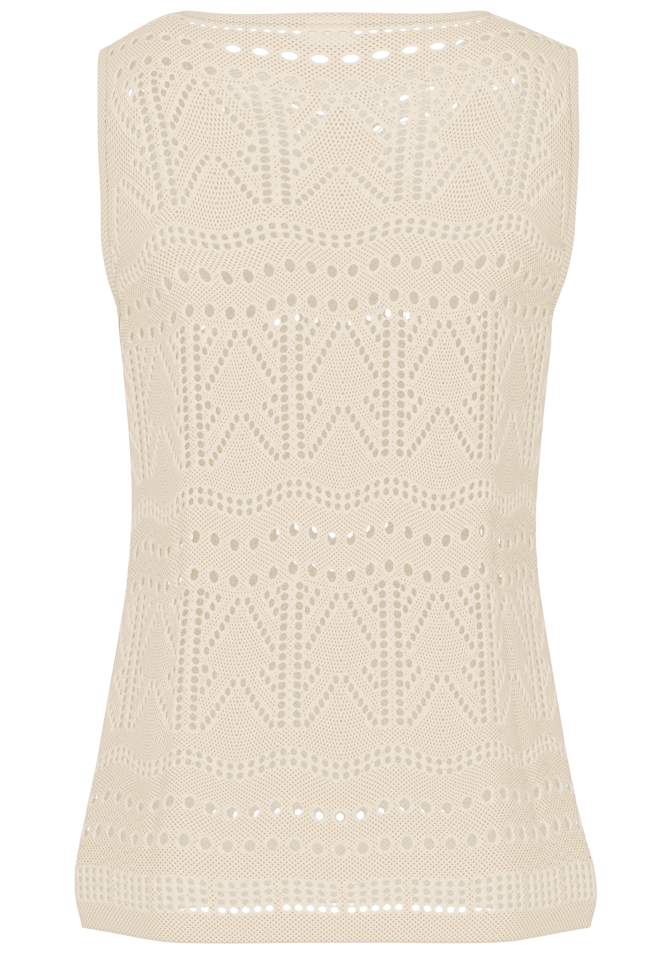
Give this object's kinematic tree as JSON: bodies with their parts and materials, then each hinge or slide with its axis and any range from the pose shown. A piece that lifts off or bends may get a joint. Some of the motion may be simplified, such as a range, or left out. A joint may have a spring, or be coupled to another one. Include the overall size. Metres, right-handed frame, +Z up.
{
  "type": "sleeveless open-knit top",
  "caption": "Sleeveless boat-neck top in leaf-lace knit, worn shape with no wearer: open neck, armholes and hem, narrow bands, and eyelets cut right through.",
  "frame": {"origin": "midway between the shoulders, at the height where a wearer carries the cloth, 1.4 mm below the middle of the back neck edge", "axes": "+Z up, the back of the top faces -Y and the front faces +Y, +X to the right when the back is looked at"},
  "size_m": [0.3393, 0.1973, 0.5938],
  "materials": {
    "lace_knit": "soft cream yarn with a slight shine, knitted in leaf lace with eyelets and raised garter welts",
    "band_knit": "the same cream yarn, knitted close and double",
    "label_tape": "smooth off-white woven tape, blank"
  },
  "bodies": {
    "root": {"back_panel": "lace_knit", "front_panel": "lace_knit", "back_neck_band": "band_knit", "front_neck_band": "band_knit", "left_armhole_band": "band_knit", "right_armhole_band": "band_knit", "neck_label": "label_tape"}
  },
  "joints": []
}
